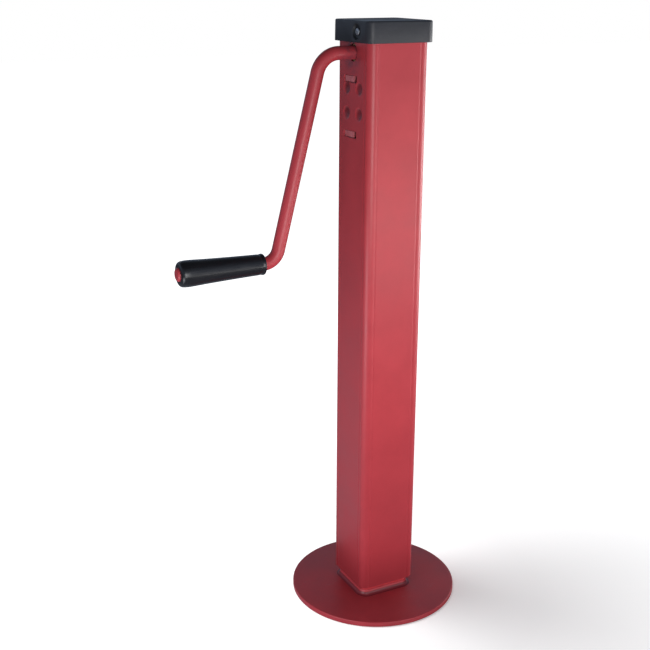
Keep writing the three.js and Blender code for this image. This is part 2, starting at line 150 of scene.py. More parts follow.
def lathe(name, profile, sides=64, axis="Z", origin=(0, 0, 0)):
    """Turns a closed outline of (radius, height) points about an axis through origin."""
    turn = {
        "Z": Matrix.Identity(3),
        "X": Matrix(((0, 0, 1), (0, 1, 0), (-1, 0, 0))),
        "Y": Matrix(((1, 0, 0), (0, 0, 1), (0, -1, 0))),
    }[axis]
    origin = Vector(origin)
    rows, points, faces = [], [], []
    for radius, height in profile:
        count = 1 if radius < TINY else sides
        rows.append((len(points), count))
        for i in range(count):
            angle = FULL_TURN * i / sides
            flat = Vector((radius * math.cos(angle), radius * math.sin(angle), height))
            points.append(turn @ flat + origin)
    for (here, here_count), (there, there_count) in zip(rows, rows[1:] + rows[:1]):
        if here_count == there_count == 1:
            continue
        for i in range(sides):
            j = (i + 1) % sides
            corners = (
                here + i % here_count, here + j % here_count,
                there + j % there_count, there + i % there_count,
            )
            faces.append(tuple(dict.fromkeys(corners)))
    return mesh_piece(name, points, faces)


def fillet(profile, radius, steps=4):
    """Rounds every corner of a closed (radius, height) outline that isn't on the axis."""
    rounded = []
    for i, here in enumerate(profile):
        before, after = Vector(profile[i - 1]), Vector(profile[(i + 1) % len(profile)])
        here = Vector(here)
        back, on = before - here, after - here
        shortest = min(back.length, on.length)
        back.normalize()
        on.normalize()
        if here.x < TINY or shortest < TINY or back.dot(on) < NEARLY_STRAIGHT:
            rounded.append(tuple(here))
            continue
        reach = min(radius, shortest / 2.1)
        start, end = here + back * reach, here + on * reach
        for step in range(steps + 1):
            t = step / steps
            rounded.append(tuple(start * (1 - t) ** 2 + here * 2 * t * (1 - t) + end * t * t))
    return rounded


def section(bore, radius, low, high):
    """The outline of a ring, or of a plain bar where the bore is 0."""
    return [(bore, low), (radius, low), (radius, high), (bore, high)]


VALLEY_WIDTH = 3.4 * MM
VALLEY_LOW = 0.62  # where its lowest line lies, as a share of its width from the corner


def valley(distance):
    """Depth, from 0 to 1, of the shallow dip that bending leaves where a flat side meets a corner."""
    share = distance / VALLEY_WIDTH
    if not 0 < share < 1:
        return 0.0
    if share < VALLEY_LOW:
        return 0.5 - 0.5 * math.cos(HALF_TURN * share / VALLEY_LOW)
    return 0.5 + 0.5 * math.cos(HALF_TURN * (share - VALLEY_LOW) / (1 - VALLEY_LOW))


def rounded_square(half, radius, z, corner_steps, side_steps, dip=0.0):
    """Points round a rounded square, with a valley of depth dip in each flat beside the corners."""
    points = []
    flat = half - radius
    for quarter in range(4):
        turn = Quaternion((0, 0, 1), quarter * HALF_TURN / 2)
        for step in range(corner_steps + 1):
            angle = HALF_TURN / 2 * step / corner_steps
            corner = Vector((flat + radius * math.cos(angle), flat + radius * math.sin(angle), z))
            points.append(turn @ corner)
        for step in range(1, side_steps):
            along = flat - 2 * flat * step / side_steps
            sink = dip * valley(flat - abs(along))
            points.append(turn @ Vector((along, half - sink, z)))
    return points


def joined(name, pieces):
    """One object that holds several meshes, for cutting with all of them at once."""
    whole = bmesh.new()
    for piece in pieces:
        whole.from_mesh(piece.data)
        bpy.data.objects.remove(piece)
    mesh = bpy.data.meshes.new(name)
    whole.to_mesh(mesh)
    whole.free()
    return link(name, mesh)


def bake(piece):
    """Applies a piece's modifiers to its mesh."""
    graph = bpy.context.evaluated_depsgraph_get()
    piece.data = bpy.data.meshes.new_from_object(piece.evaluated_get(graph), depsgraph=graph)
    piece.modifiers.clear()


def boolean(piece, tools, operation="DIFFERENCE"):
    """Cuts the tools from a piece, or with UNION adds them to it, and uses the tools up."""
    tool = joined("tool", tools)
    cut = piece.modifiers.new("cut", "BOOLEAN")
    cut.operation = operation
    cut.solver = "EXACT"
    cut.use_self = operation == "UNION"
    cut.object = tool
    bake(piece)
    bpy.data.objects.remove(tool)


def soften(piece, width):
    """Breaks the sharp edges of a piece with a narrow bevel."""
    edge = piece.modifiers.new("edge", "BEVEL")
    edge.width = width
    edge.segments = 2
    edge.limit_method = "ANGLE"
    edge.angle_limit = math.radians(35)
    edge.harden_normals = True


def prism(name, half_width, half_height, radius, near, far, flare=0.0):
    """A rounded rectangle drawn out along the X axis, whose far end opens out by twice the flare."""
    steps = 5
    rings = []
    for x, grow in ((near, 0), (far - 2 * flare, 0), (far, 2 * flare)):
        ring = []
        for quarter in range(4):
            sign_y = 1 if quarter in (0, 3) else -1
            sign_z = 1 if quarter < 2 else -1
            for step in range(steps + 1):
                angle = HALF_TURN / 2 * (quarter + step / steps)
                y = sign_y * (half_width - radius) + (radius + grow) * math.cos(angle)
                z = sign_z * (half_height - radius) + (radius + grow) * math.sin(angle)
                ring.append(Vector((x, y, z)))
        rings.append(ring)
    return loft(name, rings)


def put_on_side(piece, side, y, z):
    """Moves a piece made on the +X side to y and z there, or by a half turn to its twin on the -X side."""
    turn = 0 if side > 0 else HALF_TURN
    piece.data.transform(Matrix.Translation((0, side * y, z)) @ Matrix.Rotation(turn, 4, "Z"))
    return piece


# ---- finishes ----
class Nodes:
    """Short names for the nodes of one tree."""

    def __init__(self, tree):
        self.tree = tree

    def node(self, kind, **settings):
        made = self.tree.nodes.new("ShaderNode" + kind)
        for key, value in settings.items():
            setattr(made, key, value)
        return made

    def wire(self, value, socket):
        """Feeds a socket from another socket, or sets it to a constant."""
        if isinstance(value, bpy.types.NodeSocket):
            self.tree.links.new(value, socket)
        else:
            socket.default_value = value

    def spread(self, value, low, high, to_low=0.0, to_high=1.0):
        """Maps low..high to to_low..to_high and holds the ends."""
        limits = self.node("MapRange")
        self.wire(value, limits.inputs["Value"])
        numbers = {"From Min": low, "From Max": high, "To Min": to_low, "To Max": to_high}
        for socket, number in numbers.items():
            limits.inputs[socket].default_value = number
        return limits.outputs["Result"]

    def maths(self, operation, *values):
        node = self.node("Math", operation=operation)
        for value, socket in zip(values, node.inputs):
            self.wire(value, socket)
        return node.outputs[0]

    def blend(self, share, a, b):
        mix = self.node("Mix", data_type="RGBA")
        self.wire(share, mix.inputs["Factor"])
        self.wire(a, mix.inputs["A"])
        self.wire(b, mix.inputs["B"])
        return next(s for s in mix.outputs if s.type == "RGBA")

    def part(self, vector, axis):
        """One axis of a vector."""
        split = self.node("SeparateXYZ")
        self.wire(vector, split.inputs[0])
        return split.outputs[axis]


class Finish(Nodes):
    """A procedural material on object coordinates, in metres, built round one Principled shader."""

    def __init__(self, name, metallic=0.0):
        self.material = bpy.data.materials.new(name)
        self.material.use_nodes = True
        super().__init__(self.material.node_tree)
        self.shader = self.tree.nodes["Principled BSDF"]
        self.shader.inputs["Metallic"].default_value = metallic
        self.place = self.node("TexCoord").outputs["Object"]

    def noise(self, scale, detail, rough, stretch=(1, 1, 1), distortion=0.0):
        """Noise whose features are about 1 / scale metres across."""
        mapping = self.node("Mapping")
        self.wire(self.place, mapping.inputs["Vector"])
        mapping.inputs["Scale"].default_value = stretch
        texture = self.node("TexNoise")
        self.wire(mapping.outputs["Vector"], texture.inputs["Vector"])
        texture.inputs["Scale"].default_value = scale
        texture.inputs["Detail"].default_value = detail
        texture.inputs["Roughness"].default_value = rough
        texture.inputs["Distortion"].default_value = distortion
        return texture.outputs["Fac"]

    def along(self, axis):
        """The point's X, Y or Z, in metres."""
        return self.part(self.place, axis)

    def off_centre(self, axis):
        """How far the point is from the middle plane across an axis, in metres."""
        return self.maths("ABSOLUTE", self.along(axis))

    def distance(self, point):
        """How far the surface is from a point, in metres."""
        apart = self.node("VectorMath", operation="DISTANCE")
        self.wire(self.place, apart.inputs[0])
        apart.inputs[1].default_value = point
        return apart.outputs["Value"]

    def coat(self, colour, roughness, *bumps):
        """Wires the shader. Each bump is (height from 0 to 1, its depth in metres)."""
        self.wire(colour, self.shader.inputs["Base Color"])
        self.wire(roughness, self.shader.inputs["Roughness"])
        normal = None
        for height, depth in bumps:
            bump = self.node("Bump")
            bump.inputs["Distance"].default_value = depth
            self.wire(height, bump.inputs["Height"])
            if normal:
                self.wire(normal, bump.inputs["Normal"])
            normal = bump.outputs["Normal"]
        self.wire(normal, self.shader.inputs["Normal"])
        return self.material


def tint(colour, factor=1):
    """An opaque colour, brightened or darkened by a factor."""
    return (*(channel * factor for channel in colour), 1)


RED = (0.50, 0.040, 0.050)
DULL_RED = tint((0.44, 0.045, 0.064))
SCUFFED_RED = tint((0.44, 0.13, 0.15))
# The enamel's colour for painted shade
SHADE_RED = tint((0.15, 0.011, 0.017))
# Colour of the painted highlight on the tab ends
HIGHLIGHT_RED = tint((0.70, 0.22, 0.24))
WORN_RED = tint((0.30, 0.035, 0.045))
# Colour of painted shadow on the enamel
SHADOW_TINT = tint((0.055, 0.028, 0.045))


def red_paint(name, mottle=0.07, scuffs=0.0, painted_shade=lambda finish: (), shadow_at=None, shadow_reach=0.0):
    """Sprayed red enamel: soft mottling, fine orange peel, a few dust nibs, and scuffs if asked for.

    Each mask that the shade function returns darkens the enamel as painted shade, and a painted shadow,
    broken up by noise, lies round the given point.
    """
    finish = Finish(name)
    clouds = finish.noise(22, 4, 0.6)
    drift = finish.noise(7, 2, 0.5, stretch=(1, 1, 0.4))
    tone = finish.blend(finish.spread(clouds, 0.32, 0.68), tint(RED, 1 - mottle), tint(RED, 1 + mottle))
    tone = finish.blend(finish.spread(drift, 0.3, 0.7, 0, 0.35), tone, DULL_RED)
    rough = finish.spread(clouds, 0.3, 0.7, 0.38, 0.47)
    if scuffs:
        patches = finish.noise(60, 6, 0.7, stretch=(1, 2.2, 1), distortion=0.8)
        rubbed_and_highlit = finish.spread(patches, 0.6, 0.68, 0, scuffs)
        tone = finish.blend(rubbed_and_highlit, tone, SCUFFED_RED)
        rough = finish.maths("ADD", rough, finish.maths("MULTIPLY", rubbed_and_highlit, 0.18))
    # Painted shade: each mask darkens the enamel towards the shade colour.
    for mask in painted_shade(finish):
        tone = finish.blend(mask, tone, SHADE_RED)
    # A painted shadow round the given point, broken up by noise.
    if shadow_at:
        near = finish.spread(finish.distance(shadow_at), 0.35 * shadow_reach, shadow_reach, 0.75, 0.0)
        blots = finish.spread(finish.noise(150, 5, 0.65), 0.3, 0.62)
        tone = finish.blend(finish.maths("MULTIPLY", near, blots), tone, SHADOW_TINT)
    peel = finish.noise(900, 2, 0.5)
    nibs = finish.spread(finish.noise(420, 0, 0.5), 0.78, 0.84)
    return finish.coat(tone, rough, (peel, 0.025 * MM), (clouds, 0.12 * MM), (nibs, 0.05 * MM))


def tube_painted_shade(finish):
    """Painted shade near the tube's foot, and in whatever is sunk below its handle side and far side."""
    # Painted shade: darker towards the foot, where the foot plate shades the tube.
    foot = finish.spread(finish.along("Z"), TUBE.low.z + 8 * MM, TUBE.low.z + 45 * MM, 0.42, 0)
    # Painted shade in the dimples, slot walls and holes, and on the tube's inside.
    sunk = finish.spread(finish.off_centre("X"), TUBE_HALF - 1.5 * MM, TUBE_HALF - 0.25 * MM, 0.8, 0)
    flats = finish.spread(finish.off_centre("Y"), 21 * MM, 24 * MM, 1, 0)
    return foot, finish.maths("MULTIPLY", sunk, flats)


def bead_painted_shade(finish):
    """Painted shade on the weld bead's lower part, next to the plate."""
    return (finish.spread(finish.along("Z"), BEAD.low.z + 3.2 * MM, BEAD.low.z + 4.5 * MM, 0.95, 0),)


def tab_paint():
    """The enamel on the carrier plates, paler at their tab ends as a painted highlight, and darker further
    in, inside the tube, as painted shade.
    """
    finish = Finish("tab_paint")
    # Painted highlight: the tab ends are mixed towards a paler red.
    pale = finish.spread(finish.noise(120, 4, 0.6), 0.25, 0.6, 0.35, 0.75)
    rubbed_and_highlit = finish.blend(pale, tint(RED, 0.9), HIGHLIGHT_RED)
    # Painted shade: darker where the plates lie inside the tube wall.
    outermost = finish.spread(finish.off_centre("X"), TUBE_HALF - WALL, TUBE_HALF - 2.5 * MM)
    tone = finish.blend(outermost, SHADE_RED, rubbed_and_highlit)
    return finish.coat(tone, finish.spread(pale, 0.35, 0.75, 0.36, 0.5),
                       (finish.noise(700, 3, 0.6), 0.04 * MM))


def rubbed_paint():
    """The leg's paint: the red enamel, with long vertical marks where it slides in the outer tube."""
    finish = Finish("leg_paint")
    clouds = finish.noise(25, 4, 0.6)
    tone = finish.blend(finish.spread(clouds, 0.32, 0.68), tint(RED, 0.9), tint(RED, 1.06))
    streaks = finish.noise(500, 4, 0.7, stretch=(1, 1, 0.012))
    tone = finish.blend(finish.spread(streaks, 0.6, 0.72, 0, 0.55), tone, WORN_RED)
    return finish.coat(tone, finish.spread(streaks, 0.3, 0.7, 0.32, 0.5),
                       (finish.noise(900, 2, 0.5), 0.02 * MM), (streaks, 0.03 * MM))


def moulded_plastic():
    """Matt black plastic: fine grain, flow marks, lighter dust, and painted shade, near black, in each
    screw's recess.
    """
    base = (0.020, 0.020, 0.025)
    finish = Finish("black_plastic")
    grain = finish.noise(1400, 3, 0.6)
    flow = finish.noise(45, 4, 0.6, stretch=(1, 1, 3))
    dust = finish.spread(finish.noise(260, 5, 0.7), 0.55, 0.75, 0, 0.25)
    tone = finish.blend(finish.spread(flow, 0.3, 0.7), tint(base, 0.85), tint(base, 1.25))
    tone = finish.blend(dust, tone, tint((0.055, 0.057, 0.066)))
    for side in (-1, 1):
        well = (side * CAP.high.x, -side * CAP_SCREW.centre.y, CAP_SCREW.centre.z)
        # Painted shade: near black within each screw's recess.
        shadow = finish.spread(finish.distance(well), 8 * MM, 9.5 * MM, 0.9, 0)
        tone = finish.blend(shadow, tone, tint((0.0025, 0.0025, 0.003)))
    return finish.coat(tone, finish.spread(flow, 0.3, 0.7, 0.44, 0.54), (grain, 0.03 * MM), (flow, 0.08 * MM))


def gloss_plastic():
    """Glossy black grip plastic with faint handling scratches along its length."""
    finish = Finish("grip_plastic")
    scratches = finish.noise(900, 4, 0.7, stretch=(0.06, 1, 1))
    waves = finish.noise(60, 2, 0.5)
    tone = finish.blend(finish.spread(scratches, 0.55, 0.8, 0, 0.3), tint((0.006, 0.0055, 0.0075)),
                        tint((0.03, 0.03, 0.036)))
    return finish.coat(tone, finish.spread(scratches, 0.35, 0.7, 0.27, 0.4),
                       (scratches, 0.012 * MM), (waves, 0.1 * MM))


def worked_metal(name, base, roughness, stretch=(1, 1, 1), stain=(0.3, 0.28, 0.26), staining=0.25):
    """Bare or plated metal: tool marks stretched along the work, cloudy tarnish and small pits."""
    finish = Finish(name, metallic=1.0)
    marks = finish.noise(1300, 3, 0.6, stretch=stretch)
    tarnish = finish.noise(70, 5, 0.65)
    pits = finish.spread(finish.noise(520, 2, 0.6), 0.66, 0.74)
    tone = finish.blend(finish.spread(marks, 0.3, 0.7), tint(base, 0.88), tint(base, 1.08))
    stained = tint([a * b for a, b in zip(base, stain)], 2.2)
    tone = finish.blend(finish.spread(tarnish, 0.5, 0.78, 0, staining), tone, stained)
    return finish.coat(tone, finish.spread(tarnish, 0.3, 0.7, roughness - 0.06, roughness + 0.1),
                       (marks, 0.02 * MM), (pits, 0.04 * MM))


FINISH = {  # finish: (material, slot)
    # The tube's painted shadow lies just below the crank's entry, where the rod and cap shade it.
    "tube": (red_paint("tube_paint", painted_shade=tube_painted_shade, shadow_at=(-TUBE_HALF, 1 * MM, SHAFT_Z - 5 * MM),
                       shadow_reach=20 * MM), "red_paint"),
    # The rod's painted shadow darkens it next to the tube, under the cap's overhang.
    "rod": (red_paint("rod_paint", shadow_at=(-TUBE_HALF, 0, SHAFT_Z - 3 * MM), shadow_reach=26 * MM),
            "red_paint"),
    "bead": (red_paint("bead_paint", painted_shade=bead_painted_shade), "red_paint"),
    "tab": (tab_paint(), "red_paint"),
    "plate": (red_paint("plate_paint", mottle=0.12, scuffs=0.3), "red_paint"),
    "leg": (rubbed_paint(), "red_paint"),
    "cap": (moulded_plastic(), "black_plastic"),
    "grip": (gloss_plastic(), "grip_plastic"),
    "zinc": (worked_metal("zinc_steel", (0.4, 0.41, 0.43), 0.42), "zinc_steel"),
    "steel": (worked_metal("bare_steel", (0.46, 0.47, 0.49), 0.38, stretch=(1, 1, 0.08)), "bare_steel"),
    "dark": (worked_metal("dark_steel", (0.24, 0.24, 0.26), 0.5, staining=0.45), "dark_steel"),
    "bronze": (worked_metal("bronze", (0.55, 0.38, 0.18), 0.36, stain=(0.35, 0.3, 0.2)), "bronze"),
}
BODIES = frame["record"]["behaviour"]["bodies"]
BODY_OF = {node: body for body, nodes in BODIES.items() for node in nodes}


def painted(piece, material):
    piece.data.materials.clear()
    piece.data.materials.append(material)


def finished(piece, finish, node, sharp_degrees):
    """Shades and paints a piece and lets it stand for its CAD node, on the body that the node rides."""
    material, slot = FINISH[finish]
    shade(piece, sharp_degrees)
    painted(piece, material)
    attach(piece, BODY_OF[node])
    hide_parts(node)
    return piece


# ---- outer tube ----
TUBE_RADIUS = 8 * MM
VALLEY_DEPTH = 0.3 * MM
CAP_RELIEF = 0.2 * MM
DIMPLE_RADIUS = 6.5 * MM
DIMPLE_DEPTH = 2.1 * MM
DIMPLE_LIP = 0.8 * MM
DIMPLE_Y = 13 * MM
DIMPLE_HEIGHTS = (562 * MM, 587.5 * MM)
SLOT_HALF_WIDTH = 13 * MM
SLOT_HALF_HEIGHT = 3.5 * MM
SLOT_OFFSET = 5 * MM  # from the tube's centre line, towards +Y on the -X side and towards -Y on the +X side
CRANK_HOLE = 9 * MM
CAP_SCREW_HOLE = 2.3 * MM


def dimple_depth(y, z):
    """How far a pressed dimple sinks the tube's side at a point: a round bowl with a soft lip."""
    deepest = 0.0
    for centre_z in DIMPLE_HEIGHTS:
        for centre_y in (-DIMPLE_Y, DIMPLE_Y):
            reach = math.hypot(y - centre_y, z - centre_z) / (DIMPLE_RADIUS + DIMPLE_LIP)
            if reach < 1:
                deepest = max(deepest, DIMPLE_DEPTH * (1 - reach ** 3) ** 1.35)
    return deepest


def tube_heights():
    """Ring heights, close together, for the stretch of the tube that holds the dimples."""
    margin = DIMPLE_RADIUS + 2 * DIMPLE_LIP
    low, high = DIMPLE_HEIGHTS[0] - margin, DIMPLE_HEIGHTS[-1] + margin
    count = round((high - low) / (0.55 * MM))
    return [low + (high - low) * i / count for i in range(count + 1)]


def tube_ring(half, radius, z, dip=0.0, inside=False):
    """One ring of the tube's outside or inside, pressed in by the dimples on its two X sides."""
    ring = rounded_square(half, radius, z, 14, 96, dip)
    for point in ring:
        if abs(point.x) > abs(point.y) and abs(point.y) < half - radius:
            sunk = dimple_depth(point.y, z)
            if inside:
                sunk = min(sunk, 1.6 * MM) if sunk > 0.25 * MM else 0.0
            point.x -= math.copysign(sunk, point.x)
    return ring


def tube_cutters():
    """The crank's hole, and on both sides the two tab slots and the cap screw's hole."""
    crank_hole = section(0, CRANK_HOLE, -2 * TUBE_HALF, 2 * TUBE_HALF)
    screw_hole = section(0, CAP_SCREW_HOLE, TUBE_HALF - 1.5 * WALL, TUBE_HALF + 0.5 * WALL)
    tools = [lathe("hole", crank_hole, 64, "X", (0, 0, SHAFT_Z))]
    for side in (-1, 1):
        for plate in (TOP_PLATE, BOTTOM_PLATE):
            slot = prism("slot", SLOT_HALF_WIDTH, SLOT_HALF_HEIGHT, 1.2 * MM,
                         TUBE_HALF - 2 * WALL, TUBE_HALF + 0.4 * MM, flare=0.4 * MM)
            tools.append(put_on_side(slot, side, -SLOT_OFFSET, plate.centre.z))
        screw = lathe("hole", screw_hole, 24, "X")
        tools.append(put_on_side(screw, side, -CAP_SCREW.centre.y, CAP_SCREW.centre.z))
    return tools


def outer_tube():
    edge = 0.5 * MM
    skirt_z = CAP.low.z - GAP
    low, high = TUBE.low.z, TUBE.high.z
    dimpled = tube_heights()
    outside = [(low, edge), (low + 0.3 * edge, 0.3 * edge), (low + edge, 0.0)]
    outside += [(z, 0.0) for z in [*dimpled, skirt_z]]
    outside += [(skirt_z + 0.2 * MM, CAP_RELIEF), (high - edge, CAP_RELIEF), (high, CAP_RELIEF + edge)]
    rings = [tube_ring(TUBE_HALF - inset, TUBE_RADIUS - inset, z, VALLEY_DEPTH) for z, inset in outside]
    for z in [high, *reversed(dimpled), low]:
        rings.append(tube_ring(TUBE_HALF - WALL, TUBE_RADIUS - WALL, z, inside=True))
    tube = loft("housing_tube", rings, closed=True)
    boolean(tube, tube_cutters())
    finished(tube, "tube", "outer_tube", 30)


# ---- cap and its screws ----
def cap_ring(half, radius, z):
    return rounded_square(half, radius, z, corner_steps=12, side_steps=2)


CAP_RADIUS = 8 * MM
CAP_DRAFT = 0.25 * MM
CAP_TOP_ROUND = 1.6 * MM
CAP_FOOT_ROUND = 0.4 * MM
CAP_THICKNESS = 3.5 * MM
RECESS_DEPTH = 2.2 * MM


def cap_outline():
    """(height, inset) pairs up the cap's outside: its foot, its drafted side and its rounded top edge."""
    low, high = CAP.low.z, CAP.high.z
    outline = [(low, CAP_FOOT_ROUND), (low + 0.12 * MM, 0.12 * MM), (low + CAP_FOOT_ROUND, 0.0)]
    steps = 6
    for step in range(steps + 1):
        angle = HALF_TURN / 2 * step / steps
        rise = CAP_TOP_ROUND * math.sin(angle)
        outline.append((high - CAP_TOP_ROUND + rise, CAP_DRAFT + CAP_TOP_ROUND * (1 - math.cos(angle))))
    return outline


def screw_recess():
    """The cap's screw hole and the dished recess round it, on the +X side."""
    face = CAP.high.x
    floor_x = face - RECESS_DEPTH
    profile = [(0, 0.8 * face), (CAP_SCREW_HOLE, 0.8 * face), (CAP_SCREW_HOLE, floor_x), (6.4 * MM, floor_x),
               (6.9 * MM, floor_x + 0.3 * MM), (8.1 * MM, face - 0.1 * MM),
               (8.6 * MM, face + 0.6 * MM), (0, face + 0.6 * MM)]
    return lathe("recess", profile, 48, "X")


def top_cap():
    """A thin moulded cap with a little draft on its sides, a rounded top edge and a recess for each screw."""
    half, high = CAP.high.x, CAP.high.z
    rings = [cap_ring(half - inset, CAP_RADIUS - min(inset, CAP_RADIUS / 2), z) for z, inset in cap_outline()]
    for sunk, inset in ((0.02 * MM, 7 * MM), (0.35 * MM, 8 * MM)):
        rings.append(cap_ring(half - inset, max(CAP_RADIUS - inset, 1.4 * MM), high - sunk))
    cap = loft("moulded_cap", rings)
    play = GAP - CAP_RELIEF
    tools = [loft("well", [cap_ring(TUBE_HALF + play, TUBE_RADIUS + play, z)
                           for z in (CAP.low.z - 2 * MM, high - CAP_THICKNESS)])]
    for side in (-1, 1):
        tools.append(put_on_side(screw_recess(), side, -CAP_SCREW.centre.y, CAP_SCREW.centre.z))
    boolean(cap, tools)
    finished(cap, "cap", "top_cap", 40)


def cap_screw(side):
    """A pan-head tapping screw with a cross recess."""
    name = "cap_screw_left" if side < 0 else "cap_screw_right"
    seat, crown = CAP.high.x - 1.9 * MM, CAP.high.x - 0.5 * MM
    head, shank, cross, slit = 3.5 * MM, 1.9 * MM, 1.9 * MM, 0.36 * MM
    profile = [(0, 27 * MM), (1.2 * MM, 28 * MM), (shank, 29.4 * MM), (shank, seat), (head, seat),
               (head, seat + 0.6 * MM), (head * 0.93, seat + 0.95 * MM), (head * 0.74, seat + 1.25 * MM),
               (head * 0.4, crown - 0.03 * MM), (0, crown)]
    screw = lathe(name + "_fine", profile, 40, "X")
    for half_width, half_height in ((cross, slit), (slit, cross)):
        boolean(screw, [prism("cross", half_width, half_height, slit / 2, crown - 1.1 * MM, crown + 1 * MM)])
    boolean(screw, [shank_ridge(x * MM) for x in (29.8, 31.2, 32.6)], "UNION")
    put_on_side(screw, side, -CAP_SCREW.centre.y, CAP_SCREW.centre.z)
    finished(screw, "zinc", name, 40)


def shank_ridge(x):
    """One turn of the tapping screw's thread, drawn as a low collar."""
    crest, root, half = 2.25 * MM, 1.7 * MM, 0.45 * MM
    profile = [(0, -half), (root, -half), (crest, 0), (root, half), (0, half)]
    return lathe("ridge", profile, 24, "X", (x, 0, 0))


# ---- crank handle ----
UPPER_BEND = 25 * MM
LOWER_BEND = 17.5 * MM
ARM_TOP_X = -71.1 * MM
ARM_BOTTOM_X = -124.2 * MM
SWAGE_X = JOINTS["grip_spin"]["pos_m"][0]
SWAGE_RADIUS = 7.9 * MM
DRIVE_PIN_HOLE = 2.3 * MM
ROD_SIDES = 48


def bent_path():
    """(point, tangent) pairs in the XZ plane: shaft, arm and grip axle, joined by round bends."""
    corners = [Vector((ROD.high.x, 0, SHAFT_Z)), Vector((ARM_TOP_X, 0, SHAFT_Z)),
               Vector((ARM_BOTTOM_X, 0, GRIP_Z)), Vector((ROD.low.x, 0, GRIP_Z))]
    steps = 20
    path = [(corners[0], (corners[1] - corners[0]).normalized())]
    for before, here, after, radius in zip(corners, corners[1:], corners[2:], (UPPER_BEND, LOWER_BEND)):
        arriving, leaving = (here - before).normalized(), (after - here).normalized()
        turn = arriving.angle(leaving)
        start = here - arriving * radius * math.tan(turn / 2)
        inwards = (leaving - arriving * arriving.dot(leaving)).normalized()
        for step in range(steps + 1):
            angle = turn * step / steps
            point = start + arriving * radius * math.sin(angle) + inwards * radius * (1 - math.cos(angle))
            path.append((point, arriving * math.cos(angle) + inwards * math.sin(angle)))
    path.append((corners[-1], (corners[-1] - corners[-2]).normalized()))
    return path


def rod_stations():
    """The path with a radius at each station: rounded ends, the ring groove and the swaged collar."""
    path = bent_path()
    first, last = path[0], path[-1]
    ring = Span("shaft_retaining_ring")
    groove = 5.5 * MM
    edge = 0.9 * MM
    steps = 4
    stations = []
    for step in range(steps + 1):
        angle = HALF_TURN / 2 * step / steps
        inset = edge * (1 - math.sin(angle))
        stations.append((first[0] + first[1] * inset, first[1], ROD_RADIUS - edge * (1 - math.cos(angle))))
    stations.reverse()
    for x, radius in ((ring.high.x + GAP, ROD_RADIUS), (ring.high.x + GAP, groove),
                      (ring.low.x - GAP, groove), (ring.low.x - GAP, ROD_RADIUS)):
        stations.append((Vector((x, 0, SHAFT_Z)), first[1], radius))
    stations += [(point, tangent, ROD_RADIUS) for point, tangent in path[1:-1]]
    swage = ((3 * MM, ROD_RADIUS), (2.2 * MM, ROD_RADIUS + 0.25 * MM), (1.2 * MM, SWAGE_RADIUS))
    for offset, radius in [*swage, *((-offset, radius) for offset, radius in reversed(swage))]:
        stations.append((Vector((SWAGE_X + offset, 0, GRIP_Z)), last[1], radius))
    for inset, cut_back in ((1.7, 0), (1.35, 0.1), (0.25, 1.2), (0.06, 1.45), (0, 1.9)):
        stations.append((last[0] - last[1] * inset * MM, last[1], ROD_RADIUS - cut_back * MM))
    return stations


def crank_rod():
    """One bent bar, with the hole for the pinion's drive pin across it."""
    side = Vector((0, 1, 0))
    angles = [FULL_TURN * i / ROD_SIDES for i in range(ROD_SIDES)]
    rings = []
    for point, tangent, radius in rod_stations():
        up = tangent.cross(side)
        rings.append([point + (side * math.cos(a) + up * math.sin(a)) * radius for a in angles])
    rod = loft("handle_rod", rings)
    pin_hole = section(0, DRIVE_PIN_HOLE, -3 * ROD_RADIUS, 3 * ROD_RADIUS)
    boolean(rod, [lathe("hole", pin_hole, 32, "Y", Span("pinion_drive_pin").centre)])
    finished(rod, "rod", "crank_rod", 40)


GRIP_OUTLINE = (  # (distance from the free end, radius), in millimetres
    (0.0, 9.6), (0.35, 11.0), (1.2, 12.2), (3.2, 13.2), (8.0, 13.65), (13.0, 13.6), (20.0, 13.25),
    (32.0, 12.65), (56.0, 11.75), (78.0, 11.1), (86.0, 10.88), (87.6, 10.66), (88.7, 10.62),
    (89.6, 10.95), (90.4, 11.2), (91.5, 11.15), (92.2, 10.8), (92.5, 10.2),
)


def crank_grip():
    """The turned outline of a moulded grip, with a fine parting line down each side."""
    bore, groove = ROD_RADIUS + GAP, SWAGE_RADIUS + 0.6 * MM
    length = GRIP.size.x
    swage = SWAGE_X - GRIP.low.x
    outside = smooth_outline([(along * MM, radius * MM) for along, radius in GRIP_OUTLINE], 3)
    inside = [(length, bore), (swage + 3.6 * MM, bore), (swage + 2.4 * MM, groove),
              (swage - 2.4 * MM, groove), (swage - 3.6 * MM, bore), (0, bore)]
    sides, seam = 96, 0.09 * MM
    rings = []
    for along, radius in outside + inside:
        ring = []
        for i in range(sides):
            angle = FULL_TURN * i / sides
            reach = radius + seam if (along, radius) in outside and i in (0, sides // 2) else radius
            across, up = reach * math.cos(angle), reach * math.sin(angle)
            ring.append(Vector((GRIP.low.x + along, across, GRIP_Z + up)))
        rings.append(ring)
    grip = loft("handle_grip", rings, closed=True)
    finished(grip, "grip", "crank_grip", 45)


def between(a, b, c, d, t):
    """The Catmull-Rom value a share t of the way from b to c."""
    slope, bend, twist = c - a, 2 * a - 5 * b + 4 * c - d, 3 * b - a - 3 * c + d
    return 0.5 * (2 * b + slope * t + bend * t * t + twist * t ** 3)


def smooth_outline(points, steps):
    """A Catmull-Rom curve through the points."""
    ends = [points[0], *points, points[-1]]
    smooth = []
    for stretch in zip(ends, ends[1:], ends[2:], ends[3:]):
        for step in range(steps):
            smooth.append(tuple(between(*values, step / steps) for values in zip(*stretch)))
    return [*smooth, points[-1]]


# ---- leg, foot and weld ----
LEG_RADIUS = 7.5 * MM


def leg_ring(inset, z, dip=0.0):
    return rounded_square(LEG_HALF - inset, LEG_RADIUS - inset, z, 12, 24, dip)


